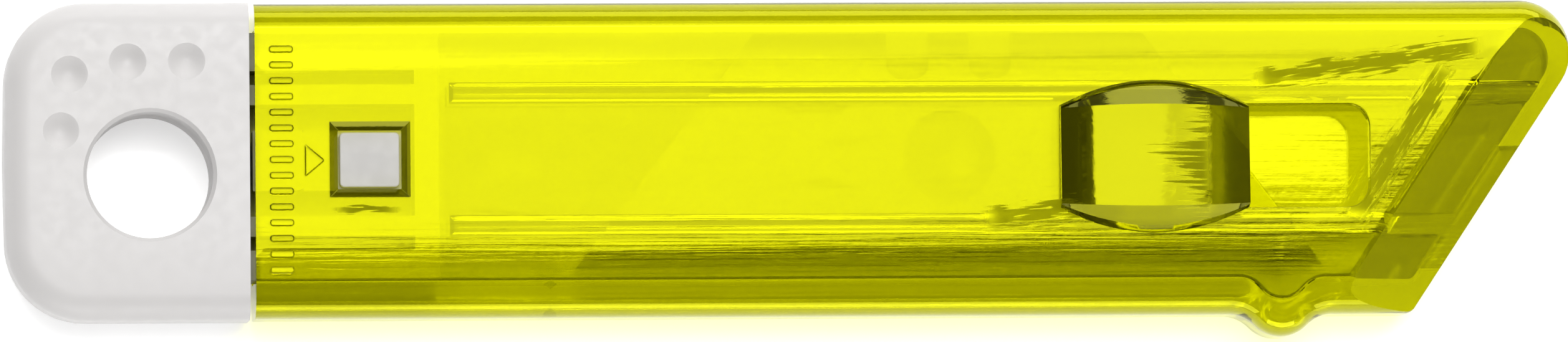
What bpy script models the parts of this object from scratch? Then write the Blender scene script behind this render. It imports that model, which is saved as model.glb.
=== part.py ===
"""Utility knife with a slide-out trapezoid blade: a clear sleeve, a latched end cap and a thumb slider.

The knife lies flat on its back face. +X runs along the knife towards the nose, +Y across it towards the
blade's back, and +Z up through the face that carries the thumb button. The origin is on the back face,
under the middle of the knife.
"""

import math

import bmesh
import bpy
from mathutils import Vector

MM = 0.001

# Driving dimensions
KNIFE_LENGTH = 130.0 * MM
HANDLE_WIDTH = 26.0 * MM
HANDLE_THICKNESS = 9.0 * MM
EDGE_ROUND = 2.3 * MM
FACE_WALL = 1.3 * MM
CAP_LENGTH = 20.15 * MM
BLADE_LENGTH = 62.0 * MM
BLADE_HEIGHT = 19.0 * MM
BLADE_THICKNESS = 0.6 * MM
BLADE_TRAVEL = 16.0 * MM
CLICK_PITCH = 8.0 * MM

HALF_LENGTH = KNIFE_LENGTH / 2
HALF_WIDTH = HANDLE_WIDTH / 2
TOP = HANDLE_THICKNESS
RUNNING_GAP = 0.3 * MM
CLOSE_GAP = 0.2 * MM
OVERLAP = 0.5 * MM  # how far joined shapes reach into each other, and how far cutters reach past a face
CLEAR_CUT = 5.0 * MM  # how far the long shapes run past the place where a plane trims them
SQUARE = 0.1 * MM  # the radius of a corner that is nearly sharp

# Handle sleeve: its outline, and the slanted nose
CAP_FACE = -HALF_LENGTH + CAP_LENGTH
CAP_GAP = 0.45 * MM
SLEEVE_START = CAP_FACE + CAP_GAP
NOSE_LEAN = 0.664  # X gained for each unit of Y along the slanted nose
NOSE_FOOT = 51.4 * MM  # where the slanted line meets the lower edge
NOSE_TIP_ROUND = 4.25 * MM
NOSE_FOOT_ROUND = 1.0 * MM
NOSE_WALL = 2.05 * MM  # along X
NOSE_TAPER_RUN = 7.3 * MM  # along X, from the crease to the slanted edge
NOSE_TAPER_DROP = 1.9 * MM

# Finger stop: a smooth bump on the lower edge, drawn as a triangle with 45 degree sides and round corners
STOP_X = 40.5 * MM
STOP_DROP = 3.1 * MM
STOP_ROUND = 3.0 * MM
STOP_INNER_DROP = 2.7 * MM
STOP_INNER_ROUND = 2.2 * MM

# Hollow of the sleeve, and the rails that guide the slider
HOLLOW_BOTTOM = -10.05 * MM
HOLLOW_TOP = 10.75 * MM
HOLLOW_FOOT_ROUND = 0.8 * MM
HOLLOW_TIP_ROUND = 2.6 * MM
RAIL_START = -28.4 * MM
RAIL_WIDTH = 1.75 * MM
UPPER_RAIL = 4.6 * MM  # lower side of the upper rail
LOWER_RAIL = -4.6 * MM  # upper side of the lower rail
RAIL_BACK_TOP = 3.15 * MM
RAIL_FRONT_BOTTOM = 5.3 * MM
TRACK_MIDDLE = (UPPER_RAIL + LOWER_RAIL) / 2

# Openings of the sleeve
SLOT_END = 47.8 * MM
SLOT_HALF = 4.26 * MM
SLOT_END_ROUND = 1.9 * MM
SLOT_START_ROUND = 0.6 * MM
WINDOW_START = -37.6 * MM
WINDOW_END = -32.35 * MM
WINDOW_HALF = 2.42 * MM
WINDOW_CHAMFER = 0.7 * MM
SLIT_START = 49.1 * MM
SLIT_BOTTOM = -9.2 * MM
SLIT_TOP = 1.0 * MM
SLIT_BACK = 4.2 * MM
SLIT_FRONT = 6.1 * MM

# Blade, at rest
BLADE_MIDDLE = 13.2 * MM
BLADE_BACK = 10.3 * MM
BLADE_EDGE = BLADE_BACK - BLADE_HEIGHT
BLADE_LEAN = 0.78  # X lost at each end for each unit of Y above the edge
BLADE_BOTTOM = 4.4 * MM
BLADE_TOP = BLADE_BOTTOM + BLADE_THICKNESS
BEVEL_HEIGHT = 1.5 * MM
EDGE_THICKNESS = 0.06 * MM
NOTCH_SPACING = 6.85 * MM
NOTCH_WIDTH = 3.5 * MM
NOTCH_DEPTH = 3.6 * MM
NOTCH_ROUND = 1.2 * MM
BLADE_HOLE = 3.8 * MM
BLADE_HOLE_Y = 0.3 * MM

# Carriage behind the blade
CARRIAGE_START = -28.5 * MM
CARRIAGE_END = 33.4 * MM
RIB_BOTTOM = FACE_WALL + RUNNING_GAP
PLATE_BOTTOM = RAIL_BACK_TOP + RUNNING_GAP
PLATE_TOP = BLADE_BOTTOM - CLOSE_GAP
SHELF_HALF = 7.0 * MM
FOOT_END = -19.2 * MM
FOOT_BOTTOM = -6.6 * MM
HEEL_BOTTOM = -9.45 * MM
PEG_RADIUS = 3.6 * MM
PEG_TOP = BLADE_TOP - 0.05 * MM

# Bar in front of the blade, and the thumb button outside
BAR_START = CARRIAGE_START
RAMP_START = 33.8 * MM  # the bar's front end slopes down, to pass under the tapered nose
RAMP_SLOPE = 0.29
BAR_BOTTOM = BLADE_TOP + CLOSE_GAP
BAR_TOP = TOP - FACE_WALL - RUNNING_GAP
BAR_ROUND = 1.5 * MM
POCKET_END = -15.3 * MM
POCKET_HALF = 2.9 * MM
POCKET_DEPTH = 0.8 * MM
TAIL_HOLE = (-24.6 * MM, -20.2 * MM)
TAIL_HOLE_HALF = 1.1 * MM
LEG_RADIUS = 2.3 * MM
LEG_BOTTOM = 2.1 * MM
LEG_SHIFT = 0.4 * MM  # from the middle of the blade's hole to the leg's flat side
NECK_LENGTH = 7.2 * MM
NECK_START = SLOT_END - RUNNING_GAP - BLADE_TRAVEL - NECK_LENGTH
NECK_HALF = 3.7 * MM
NECK_ROUND = 1.0 * MM
NECK_POCKET_FLOOR = BAR_BOTTOM + 0.6 * MM
NECK_BOTTOM = NECK_POCKET_FLOOR + CLOSE_GAP
SLOT_START = NECK_START - RUNNING_GAP
BUTTON_MIDDLE = 29.87 * MM
BUTTON_HALF_LENGTH = 7.82 * MM
BUTTON_CREST_HALF = 3.95 * MM
BUTTON_CREST_BULGE = 0.27 * MM
BUTTON_MID_HALF = 6.3 * MM
BUTTON_RIM = 0.6 * MM
BUTTON_RIM_SLANT = 0.3 * MM
BUTTON_CROWN = 1.6 * MM

# Click arm on the carriage's tail
ARM_START = -27.2 * MM
ARM_MIDDLE = -7.9 * MM
ARM_HALF = 0.45 * MM
ARM_HEEL_LENGTH = 1.2 * MM
ARM_HEEL_DROP = 0.6 * MM
TOOTH_X = -20.0 * MM
TOOTH_HALF = 0.85 * MM
CLICK_DEPTH = 0.55 * MM

# End cap
CAP_ROUND = 6.6 * MM
CAP_HALF_WIDTH = 13.1 * MM
EYE_X = -53.05 * MM
EYE_Y = -1.2 * MM
EYE_RADIUS = 5.25 * MM
EYE_CHAMFER = 0.4 * MM
DIMPLES = (
    (-59.7 * MM, 7.15 * MM),
    (-54.85 * MM, 8.2 * MM),
    (-50.0 * MM, 8.25 * MM),
    (-60.45 * MM, 2.45 * MM),
)
DIMPLE_RADIUS = 1.5 * MM
DIMPLE_DEPTH = 0.55 * MM
PLUG_END = -29.25 * MM
PLUG_END_WALL = 2.0 * MM
PLUG_FLOOR = 2.7 * MM
PLUG_BAYS = ((6.25 * MM, 7.4 * MM), (-4.6 * MM, 4.6 * MM), (-7.4 * MM, -6.25 * MM))  # across the knife

# Latch tongue, moulded with the cap and bending at its root
TONGUE_START = CAP_FACE + RUNNING_GAP
TONGUE_END = -31.75 * MM
TONGUE_HALF = 2.5 * MM
TONGUE_ROOT_END = -39.9 * MM
TONGUE_ROOT_BOTTOM = 5.2 * MM
TONGUE_BOTTOM = 5.9 * MM
TONGUE_TOP = TOP - FACE_WALL - RUNNING_GAP
LATCH_TOP = 8.3 * MM
LATCH_CLEARANCE = 0.25 * MM
LATCH_ROUND = 0.4 * MM
LATCH_HINGE = Vector((-43.5 * MM, 0.0, 6.3 * MM))

SLIDER_ORIGIN = Vector((BLADE_MIDDLE, TRACK_MIDDLE, PLATE_TOP))
CAP_ORIGIN = Vector((CAP_FACE, 0.0, TOP / 2))

CLEAR_YELLOW = (0.87, 0.87, 0.0, 1.0)
CAP_WHITE = (0.74, 0.73, 0.72, 1.0)
BLADE_STEEL = (0.55, 0.55, 0.56, 1.0)

CORNER_STEPS = 6
CIRCLE_STEPS = 32
SMALL_CIRCLE_STEPS = 16
EDGE_STEPS = 4
BUTTON_STEPS = 16


def start_empty():
    for thing in list(bpy.data.objects):
        bpy.data.objects.remove(thing)


def material(name, colour, roughness, metallic=0.0, transmission=0.0):
    made = bpy.data.materials.new(name)
    made.use_nodes = True
    shader = made.node_tree.nodes["Principled BSDF"]
    shader.inputs["Base Color"].default_value = colour
    shader.inputs["Roughness"].default_value = roughness
    shader.inputs["Metallic"].default_value = metallic
    shader.inputs["Transmission Weight"].default_value = transmission
    return made


# Outlines, all counter-clockwise


def turned(point, angle):
    cosine, sine = math.cos(angle), math.sin(angle)
    return Vector((point.x * cosine - point.y * sine, point.x * sine + point.y * cosine))


def filleted(corners, inset=0.0):
    """Points round a polygon of (x, y, radius) corners, moved inwards by inset.

    Every corner gives the same number of points whatever the inset, so two insets can be joined by faces."""
    sides = []
    for (x, y, _), (next_x, next_y, _) in zip(corners, corners[1:] + corners[:1]):
        way = Vector((next_x - x, next_y - y)).normalized()
        sides.append((Vector((x, y)) + inset * Vector((-way.y, way.x)), way))
    points = []
    for i, (_, _, radius) in enumerate(corners):
        (start, before), (after_start, after) = sides[i - 1], sides[i]
        turn = before.cross(after)
        corner = start + before * ((after_start - start).cross(after) / turn)
        rounded = max(radius - math.copysign(inset, turn), SQUARE / 2)
        sweep = math.copysign(before.angle(after), turn)
        reach = rounded * math.tan(abs(sweep) / 2)
        to_centre = math.copysign(rounded, turn) * Vector((-before.y, before.x))
        centre = corner - before * reach + to_centre
        steps = [sweep * step / CORNER_STEPS for step in range(CORNER_STEPS + 1)]
        points += [centre + turned(-to_centre, angle) for angle in steps]
    return points


def circle(x, y, radius, steps=CIRCLE_STEPS):
    return [Vector((x, y)) + turned(Vector((radius, 0)), 2 * math.pi * i / steps) for i in range(steps)]


def rectangle(x0, x1, y0, y1):
    return [Vector((x0, y0)), Vector((x1, y0)), Vector((x1, y1)), Vector((x0, y1))]


def round_rectangle(x0, x1, y0, y1, start_round, end_round):
    return filleted([(x0, y0, start_round), (x1, y0, end_round), (x1, y1, end_round), (x0, y1, start_round)])


def half_disc(side, radius, shift):
    """Half of a disc in the blade's hole: the half on the given side, its flat off the middle by shift."""
    first = Vector((0, -side * radius))
    centre = Vector((BLADE_MIDDLE + side * shift, BLADE_HOLE_Y))
    return [centre + turned(first, math.pi * i / SMALL_CIRCLE_STEPS) for i in range(SMALL_CIRCLE_STEPS + 1)]


# Solids


def new_object(name, work, look=None, origin=None):
    """Makes an object from mesh work in world coordinates, with its origin where it is asked for."""
    bmesh.ops.recalc_face_normals(work, faces=work.faces)
    place = origin or Vector((0, 0, 0))
    bmesh.ops.translate(work, verts=work.verts, vec=-place)
    mesh = bpy.data.meshes.new(name)
    work.to_mesh(mesh)
    work.free()
    made = bpy.data.objects.new(name, mesh)
    made.location = place
    bpy.context.scene.collection.objects.link(made)
    if look:
        mesh.materials.append(look)
    return made


def lofted(levels):
    """A closed solid through loops of equally many points, given as (z, points) from the bottom up."""
    work = bmesh.new()
    loops = [[work.verts.new((p.x, p.y, z)) for p in points] for z, points in levels]
    work.faces.new(list(reversed(loops[0])))
    work.faces.new(loops[-1])
    for lower, upper in zip(loops, loops[1:]):
        for i in range(len(lower)):
            j = (i + 1) % len(lower)
            work.faces.new((lower[i], lower[j], upper[j], upper[i]))
    return work


def prism(name, points, bottom, top, look=None, origin=None):
    return new_object(name, lofted([(bottom, points), (top, points)]), look, origin)


def rounded_levels(corners, bottom, top, radius):
    """Levels of a slab whose upper and lower rims are rounded."""
    levels = []
    for step in range(EDGE_STEPS + 1):
        angle = math.pi / 2 * step / EDGE_STEPS
        height = radius * (1 - math.cos(angle))
        levels.append((bottom + height, filleted(corners, radius * (1 - math.sin(angle)))))
    return levels + [(top + bottom - z, points) for z, points in reversed(levels)]


def keep_below(work, point, normal):
    """Cuts the solid with a plane and closes it, dropping what lies on the normal's side."""
    everything = work.verts[:] + work.edges[:] + work.faces[:]
    cut = bmesh.ops.bisect_plane(work, geom=everything, plane_co=point, plane_no=normal, clear_outer=True)
    rim = [part for part in cut["geom_cut"] if isinstance(part, bmesh.types.BMEdge)]
    bmesh.ops.contextual_create(work, geom=rim)


def combine(target, other, operation="DIFFERENCE"):
    other.hide_render = True
    other.display_type = "WIRE"
    step = target.modifiers.new(other.name, "BOOLEAN")
    step.operation = operation
    step.object = other


def join(target, other):
    combine(target, other, "UNION")


# Handle


def nose_x(y):
    """X of the slanted nose line at a height y."""
    return NOSE_FOOT + (y + HALF_WIDTH) * NOSE_LEAN


def taper_nose(work, depth):
    """Slopes both faces down towards the slanted edge. Depth moves the two planes into the material."""
    across = Vector((1.0, -NOSE_LEAN, 0.0)).normalized()
    run = NOSE_TAPER_RUN * across.x
    crease_x = nose_x(0.0) - NOSE_TAPER_RUN
    for z, side in ((TOP, 1), (0.0, -1)):
        normal = (across * NOSE_TAPER_DROP + Vector((0, 0, side * run))).normalized()
        keep_below(work, Vector((crease_x, 0, z)) - normal * depth, normal)


def stop_corners(y, drop, radius):
    """The three corners of the finger stop, below an edge at height y."""
    return [
        (STOP_X - drop, y, radius),
        (STOP_X, y - drop, radius),
        (STOP_X + drop, y, radius),
    ]


def sleeve_hollow():
    """What is taken out of the sleeve, with the four guide rails left standing in it."""
    start = SLEEVE_START - CLEAR_CUT
    corners = [(start, HOLLOW_BOTTOM, SQUARE)]
    corners += stop_corners(HOLLOW_BOTTOM, STOP_INNER_DROP, STOP_INNER_ROUND)
    corners += [
        (nose_x(HOLLOW_BOTTOM) - NOSE_WALL, HOLLOW_BOTTOM, HOLLOW_FOOT_ROUND),
        (nose_x(HOLLOW_TOP) - NOSE_WALL, HOLLOW_TOP, HOLLOW_TIP_ROUND),
        (start, HOLLOW_TOP, SQUARE),
    ]
    outline = filleted(corners)
    work = lofted([(FACE_WALL, outline), (TOP - FACE_WALL, outline)])
    taper_nose(work, FACE_WALL)
    hollow = new_object("hollow_cutter", work)
    for side, low in (("upper", UPPER_RAIL), ("lower", LOWER_RAIL - RAIL_WIDTH)):
        strip = rectangle(RAIL_START, HALF_LENGTH + CLEAR_CUT, low, low + RAIL_WIDTH)
        combine(hollow, prism(f"{side}_back_rail", strip, 0.0, RAIL_BACK_TOP))
        combine(hollow, prism(f"{side}_front_rail", strip, RAIL_FRONT_BOTTOM, TOP))
    return hollow


def click_notch(x):
    """A shallow V along the lower inside wall, where the click arm's tooth rests."""
    half = TOOTH_HALF + CLOSE_GAP
    outline = [
        Vector((x - half, HOLLOW_BOTTOM + CLOSE_GAP)),
        Vector((x - half, HOLLOW_BOTTOM)),
        Vector((x, HOLLOW_BOTTOM - CLICK_DEPTH)),
        Vector((x + half, HOLLOW_BOTTOM)),
        Vector((x + half, HOLLOW_BOTTOM + CLOSE_GAP)),
    ]
    return prism("notch_cutter", outline, FACE_WALL + OVERLAP, TOP - FACE_WALL - OVERLAP)


def latch_window():
    """Square hole for the latch, its outer rim chamfered on all sides."""
    inner = rectangle(WINDOW_START, WINDOW_END, -WINDOW_HALF, WINDOW_HALF)
    wide = WINDOW_HALF + WINDOW_CHAMFER
    outer = rectangle(WINDOW_START - WINDOW_CHAMFER, WINDOW_END + WINDOW_CHAMFER, -wide, wide)
    lower = [(TOP - FACE_WALL - OVERLAP, inner), (TOP - WINDOW_CHAMFER, inner)]
    return new_object("window_cutter", lofted(lower + [(TOP, outer), (TOP + OVERLAP, outer)]))


def body_sleeve(look):
    """The clear handle: one moulding, open at the cap end and closed at the slanted nose."""
    start = SLEEVE_START - CLEAR_CUT
    corners = [(start, -HALF_WIDTH, SQUARE)]
    corners += stop_corners(-HALF_WIDTH, STOP_DROP, STOP_ROUND)
    corners += [
        (NOSE_FOOT, -HALF_WIDTH, NOSE_FOOT_ROUND),
        (nose_x(HALF_WIDTH), HALF_WIDTH, NOSE_TIP_ROUND),
        (start, HALF_WIDTH, SQUARE),
    ]
    work = lofted(rounded_levels(corners, 0.0, TOP, EDGE_ROUND))
    keep_below(work, Vector((SLEEVE_START, 0, 0)), Vector((-1, 0, 0)))
    taper_nose(work, 0.0)
    sleeve = new_object("body_sleeve", work, look)
    combine(sleeve, sleeve_hollow())
    slot_low, slot_high = TRACK_MIDDLE - SLOT_HALF, TRACK_MIDDLE + SLOT_HALF
    slot = round_rectangle(SLOT_START, SLOT_END, slot_low, slot_high, SLOT_START_ROUND, SLOT_END_ROUND)
    combine(sleeve, prism("slot_cutter", slot, TOP - FACE_WALL - OVERLAP, TOP + OVERLAP))
    combine(sleeve, latch_window())
    slit = rectangle(SLIT_START, HALF_LENGTH + CLEAR_CUT, SLIT_BOTTOM, SLIT_TOP)
    combine(sleeve, prism("slit_cutter", slit, SLIT_BACK, SLIT_FRONT))
    for click in range(round(BLADE_TRAVEL / CLICK_PITCH) + 1):
        combine(sleeve, click_notch(TOOTH_X + click * CLICK_PITCH))
    return sleeve


# End cap and latch


def dimple_cutter(x, y):
    """A shallow hollow in the cap's face, part of a sphere."""
    ball = (DIMPLE_RADIUS**2 + DIMPLE_DEPTH**2) / (2 * DIMPLE_DEPTH)
    levels = []
    for share in (0.1, 0.4, 0.7, 1.0):
        radius = DIMPLE_RADIUS * share
        rise = ball - math.sqrt(ball**2 - radius**2)
        levels.append((TOP - DIMPLE_DEPTH + rise, circle(x, y, radius, SMALL_CIRCLE_STEPS)))
    levels.append((TOP + OVERLAP, circle(x, y, DIMPLE_RADIUS, SMALL_CIRCLE_STEPS)))
    return new_object("dimple_cutter", lofted(levels))


def eye_cutter():
    """Round lanyard hole, chamfered on both faces."""
    narrow, wide = circle(EYE_X, EYE_Y, EYE_RADIUS), circle(EYE_X, EYE_Y, EYE_RADIUS + EYE_CHAMFER)
    lower = [(-OVERLAP, wide), (0.0, wide), (EYE_CHAMFER, narrow)]
    return new_object("eye_cutter", lofted(lower + [(TOP - z, points) for z, points in reversed(lower)]))


def end_cap(look):
    """White end cap with a lanyard eye, and the slotted plug that holds it in the sleeve."""
    corners = [
        (-HALF_LENGTH, -CAP_HALF_WIDTH, CAP_ROUND),
        (CAP_FACE + CLEAR_CUT, -CAP_HALF_WIDTH, SQUARE),
        (CAP_FACE + CLEAR_CUT, CAP_HALF_WIDTH, SQUARE),
        (-HALF_LENGTH, CAP_HALF_WIDTH, CAP_ROUND),
    ]
    work = lofted(rounded_levels(corners, 0.0, TOP, EDGE_ROUND))
    keep_below(work, Vector((CAP_FACE, 0, 0)), Vector((1, 0, 0)))
    cap = new_object("end_cap", work, look, CAP_ORIGIN)
    plug = rectangle(CAP_FACE - OVERLAP, PLUG_END, HOLLOW_BOTTOM + CLOSE_GAP, HOLLOW_TOP - CLOSE_GAP)
    join(cap, prism("plug", plug, FACE_WALL + CLOSE_GAP, TOP - FACE_WALL - CLOSE_GAP))
    for low, high in PLUG_BAYS:
        bay = rectangle(CAP_FACE, PLUG_END - PLUG_END_WALL, low, high)
        combine(cap, prism("bay_cutter", bay, PLUG_FLOOR, TOP))
    combine(cap, eye_cutter())
    for x, y in DIMPLES:
        combine(cap, dimple_cutter(x, y))
    return cap


def latch_tongue(look):
    """Springy finger of the cap, whose square head fills the sleeve's window."""
    root = rectangle(TONGUE_START, TONGUE_ROOT_END, -TONGUE_HALF, TONGUE_HALF)
    tongue = prism("latch_tongue", root, TONGUE_ROOT_BOTTOM, TONGUE_TOP, look, LATCH_HINGE)
    finger = rectangle(TONGUE_ROOT_END - OVERLAP, TONGUE_END, -TONGUE_HALF, TONGUE_HALF)
    join(tongue, prism("finger", finger, TONGUE_BOTTOM, TONGUE_TOP - SQUARE))
    head_half = WINDOW_HALF - LATCH_CLEARANCE
    head = round_rectangle(
        WINDOW_START + LATCH_CLEARANCE,
        WINDOW_END - LATCH_CLEARANCE,
        -head_half,
        head_half,
        LATCH_ROUND,
        LATCH_ROUND,
    )
    join(tongue, prism("latch_head", head, TONGUE_BOTTOM + OVERLAP, LATCH_TOP))
    return tongue


# Blade and slider


def blade_end(y):
    """X of the blade's front end at a height y."""
    return BLADE_MIDDLE + BLADE_LENGTH / 2 - (y - BLADE_EDGE) * BLADE_LEAN


def notch_middles():
    return [BLADE_MIDDLE + side * NOTCH_SPACING / 2 for side in (-1, 1)]


def blade(look):
    """Two-ended trapezoid blade with a ground edge, two notches in its back and a round hole."""
    middle = (BLADE_BOTTOM + BLADE_TOP) / 2
    work = bmesh.new()
    rows = []
    for y, thickness in (
        (BLADE_EDGE, EDGE_THICKNESS),
        (BLADE_EDGE + BEVEL_HEIGHT, BLADE_THICKNESS),
        (BLADE_BACK, BLADE_THICKNESS),
    ):
        end, flat = blade_end(y), thickness / 2
        section = rectangle(2 * BLADE_MIDDLE - end, end, middle - flat, middle + flat)
        rows.append([work.verts.new((p.x, y, p.y)) for p in section])
    work.faces.new(rows[0])
    work.faces.new(rows[-1])
    for lower, upper in zip(rows, rows[1:]):
        for i in range(len(lower)):
            j = (i + 1) % len(lower)
            work.faces.new((lower[i], lower[j], upper[j], upper[i]))
    made = new_object("blade", work, look, SLIDER_ORIGIN)
    below, above = BLADE_BOTTOM - OVERLAP, BLADE_TOP + OVERLAP
    half = NOTCH_WIDTH / 2
    for x in notch_middles():
        notch = filleted(
            [
                (x - half, BLADE_BACK - NOTCH_DEPTH, NOTCH_ROUND),
                (x + half, BLADE_BACK - NOTCH_DEPTH, NOTCH_ROUND),
                (x + half, BLADE_BACK + OVERLAP, SQUARE),
                (x - half, BLADE_BACK + OVERLAP, SQUARE),
            ]
        )
        combine(made, prism("blade_notch_cutter", notch, below, above))
    combine(made, prism("blade_hole_cutter", circle(BLADE_MIDDLE, BLADE_HOLE_Y, BLADE_HOLE), below, above))
    return made


def blade_carriage(look):
    """Slides behind the blade: a rib between the back rails, a shelf with pegs, a heel for the click arm."""
    low, high = LOWER_RAIL + RUNNING_GAP, UPPER_RAIL - RUNNING_GAP
    rib = rectangle(CARRIAGE_START, CARRIAGE_END, low, high)
    carriage = prism("blade_carriage", rib, RIB_BOTTOM, PLATE_TOP, look, SLIDER_ORIGIN)
    shelf_start, shelf_end = BLADE_MIDDLE - SHELF_HALF, BLADE_MIDDLE + SHELF_HALF
    plates = {
        "shelf": (shelf_start, shelf_end, high - OVERLAP, BLADE_BACK - RUNNING_GAP),
        "foot": (CARRIAGE_START, FOOT_END, FOOT_BOTTOM, low + OVERLAP),
        "heel": (CARRIAGE_START, ARM_START - CLOSE_GAP, HEEL_BOTTOM, FOOT_BOTTOM + OVERLAP),
    }
    for name, sides in plates.items():
        join(carriage, prism(name, rectangle(*sides), PLATE_BOTTOM, PLATE_TOP))
    peg_bottom = PLATE_TOP - OVERLAP
    join(carriage, prism("hole_peg", half_disc(-1, PEG_RADIUS, SQUARE), peg_bottom, PEG_TOP))
    half = NOTCH_WIDTH / 2 - CLOSE_GAP
    for x in notch_middles():
        bottom, top = BLADE_BACK - NOTCH_DEPTH + CLOSE_GAP, BLADE_BACK - OVERLAP
        peg = filleted(
            [
                (x - half, bottom, NOTCH_ROUND),
                (x + half, bottom, NOTCH_ROUND),
                (x + half, top, SQUARE),
                (x - half, top, SQUARE),
            ]
        )
        join(carriage, prism("notch_peg", peg, peg_bottom, PEG_TOP))
    leg_hole = half_disc(1, LEG_RADIUS + RUNNING_GAP, LEG_SHIFT - CLOSE_GAP)
    combine(carriage, prism("leg_hole_cutter", leg_hole, 0.0, TOP))
    return carriage


def click_arm(look):
    """Springy finger on the carriage's tail, whose tooth drops into the notches of the sleeve."""
    low, high = ARM_MIDDLE - ARM_HALF, ARM_MIDDLE + ARM_HALF
    tooth_foot = HOLLOW_BOTTOM + CLOSE_GAP
    outline = [
        Vector((ARM_START, low - ARM_HEEL_DROP)),
        Vector((ARM_START + ARM_HEEL_LENGTH, low - ARM_HEEL_DROP)),
        Vector((ARM_START + ARM_HEEL_LENGTH + ARM_HEEL_DROP, low)),
        Vector((TOOTH_X - TOOTH_HALF, low)),
        Vector((TOOTH_X - TOOTH_HALF, tooth_foot)),
        Vector((TOOTH_X, tooth_foot - CLICK_DEPTH)),
        Vector((TOOTH_X + TOOTH_HALF, tooth_foot)),
        Vector((TOOTH_X + TOOTH_HALF, high)),
        Vector((ARM_START, high)),
    ]
    return prism("click_arm", outline, PLATE_BOTTOM, PLATE_TOP, look, SLIDER_ORIGIN)


def slider_bar(look):
    """Front half of the slider, between the front rails, with a leg through the blade into the carriage."""
    low, high = LOWER_RAIL + RUNNING_GAP, UPPER_RAIL - RUNNING_GAP
    outline = filleted(
        [
            (BAR_START, low, SQUARE),
            (blade_end(low), low, SQUARE),
            (blade_end(high), high, BAR_ROUND),
            (BAR_START, high, SQUARE),
        ]
    )
    work = lofted([(BAR_BOTTOM, outline), (BAR_TOP, outline)])
    keep_below(work, Vector((RAMP_START, 0, BAR_TOP)), Vector((RAMP_SLOPE, 0, 1)).normalized())
    bar = new_object("slider_bar", work, look, SLIDER_ORIGIN)
    join(bar, prism("bar_leg", half_disc(1, LEG_RADIUS, LEG_SHIFT), LEG_BOTTOM, BAR_BOTTOM + OVERLAP))
    reach = NECK_HALF + CLOSE_GAP
    pocket = rectangle(
        NECK_START - CLOSE_GAP,
        NECK_START + NECK_LENGTH + CLOSE_GAP,
        TRACK_MIDDLE - reach,
        TRACK_MIDDLE + reach,
    )
    combine(bar, prism("neck_pocket_cutter", pocket, NECK_POCKET_FLOOR, TOP))
    sides = (TRACK_MIDDLE - POCKET_HALF, TRACK_MIDDLE + POCKET_HALF)
    recess = rectangle(BAR_START - OVERLAP, POCKET_END, *sides)
    combine(bar, prism("tail_pocket_cutter", recess, BAR_TOP - POCKET_DEPTH, TOP))
    hole = rectangle(*TAIL_HOLE, TRACK_MIDDLE - TAIL_HOLE_HALF, TRACK_MIDDLE + TAIL_HOLE_HALF)
    combine(bar, prism("tail_hole_cutter", hole, 0.0, TOP))
    return bar


def button_section(along, base):
    """The pad's cross section, as (y, z) points, at a place from -1 at its rear end to 1 at its front end."""
    bulge = 1 - along**2
    crest_half = BUTTON_CREST_HALF + BUTTON_CREST_BULGE * bulge
    wing_end = BUTTON_CREST_HALF + BUTTON_RIM_SLANT
    wing = wing_end + (BUTTON_MID_HALF - wing_end) * bulge
    rim, crest = base + BUTTON_RIM, base + BUTTON_RIM + (BUTTON_CROWN - SQUARE) * bulge + SQUARE
    right = [(wing, base), (wing - BUTTON_RIM_SLANT + SQUARE, rim), (crest_half, crest)]
    return right + [(-y, z) for y, z in reversed(right)]


def thumb_button(look):
    """Crowned thumb pad over the slot, with sloping wings, and the neck that plugs into the bar."""
    base = TOP + CLOSE_GAP
    work = bmesh.new()
    sections = []
    for step in range(BUTTON_STEPS + 1):
        along = -1 + 2 * step / BUTTON_STEPS
        x = BUTTON_MIDDLE + along * BUTTON_HALF_LENGTH
        sections.append([work.verts.new((x, TRACK_MIDDLE + y, z)) for y, z in button_section(along, base)])
    work.faces.new(sections[0])
    work.faces.new(sections[-1])
    for here, there in zip(sections, sections[1:]):
        for i in range(len(here)):
            j = (i + 1) % len(here)
            work.faces.new((here[i], here[j], there[j], there[i]))
    button = new_object("thumb_button", work, look, SLIDER_ORIGIN)
    low, high = TRACK_MIDDLE - NECK_HALF, TRACK_MIDDLE + NECK_HALF
    neck = round_rectangle(NECK_START, NECK_START + NECK_LENGTH, low, high, NECK_ROUND, NECK_ROUND)
    join(button, prism("neck", neck, NECK_BOTTOM, base + BUTTON_RIM / 2))
    return button


def main():
    start_empty()
    clear = material("clear_yellow", CLEAR_YELLOW, 0.1, transmission=0.7)
    white = material("cap_white", CAP_WHITE, 0.4)
    steel = material("blade_steel", BLADE_STEEL, 0.3, metallic=1.0)
    for make in (body_sleeve, blade_carriage, click_arm, slider_bar, thumb_button):
        make(clear)
    for make in (end_cap, latch_tongue):
        make(white)
    blade(steel)


main()
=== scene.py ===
"""Looks of the clear utility knife: finer meshes for the CAD pieces, their materials, light and camera.

Everything is in metres, in the frame of the CAD model: +X to the nose, +Y to the blade's back, +Z out
through the face with the thumb button. Profiles are (inset, z) pairs, which say how far the outline shrinks
at a height.
"""
import math

import bmesh
import bpy
from mathutils import Matrix, Vector


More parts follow.
